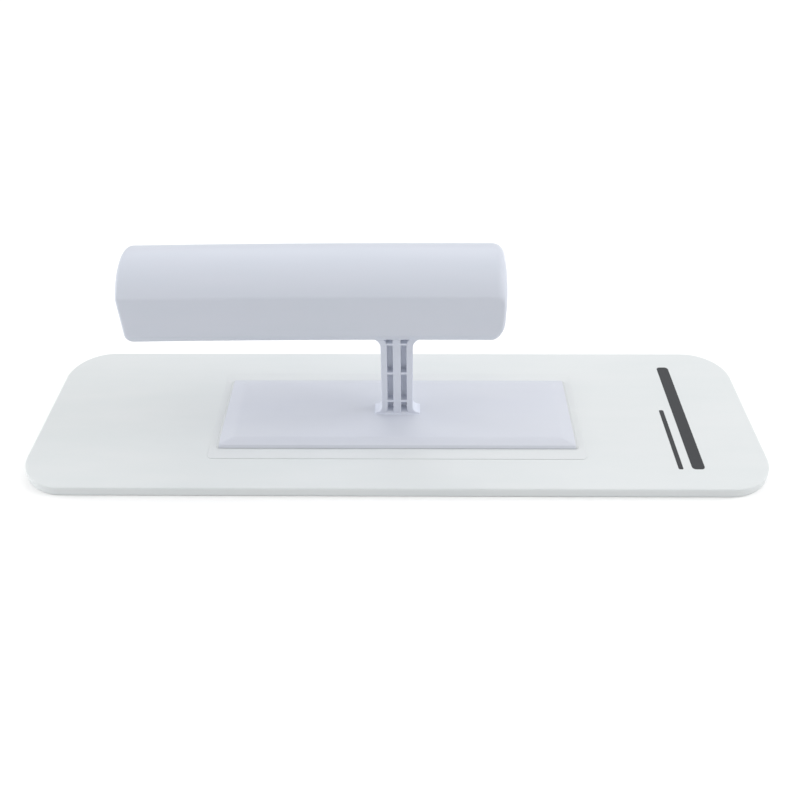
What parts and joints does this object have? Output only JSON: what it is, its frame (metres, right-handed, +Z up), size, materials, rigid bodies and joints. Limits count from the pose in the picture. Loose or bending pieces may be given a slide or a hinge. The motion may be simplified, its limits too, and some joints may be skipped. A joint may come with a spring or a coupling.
{
  "type": "plastic finishing trowel",
  "caption": "Long flat plastic blade with rounded corners under a domed grip on one ribbed shank and a bevelled foot plate, for smoothing plaster, mortar or filler.",
  "frame": {"origin": "centre of the blade's flat working face, which is the middle of the bottom of the bounding box", "axes": "+X along the blade towards the grip's rounded nose, +Y across the blade, +Z up from the working face through the blade to the grip"},
  "size_m": [0.28, 0.082, 0.0783],
  "materials": {
    "blade_plastic": "white moulded plastic with a smooth satin face",
    "sheet_plastic": "thin white sheet, satin",
    "foot_plastic": "pale lavender-grey moulded plastic, satin",
    "shank_plastic": "pale lavender-grey moulded plastic, satin",
    "grip_plastic": "pale lavender-grey moulded plastic, satin with a fine moulded grain",
    "plug_plastic": "pale lavender-grey moulded plastic, satin",
    "key_plastic": "dark grey unfinished plastic, hidden inside the grip"
  },
  "bodies": {
    "root": {"blade": "blade_plastic", "bonding_pad": "sheet_plastic", "foot_plate": "foot_plastic", "shank": "shank_plastic", "grip_shell": "grip_plastic", "grip_key": "key_plastic", "grip_end_plug": "plug_plastic"}
  },
  "joints": []
}
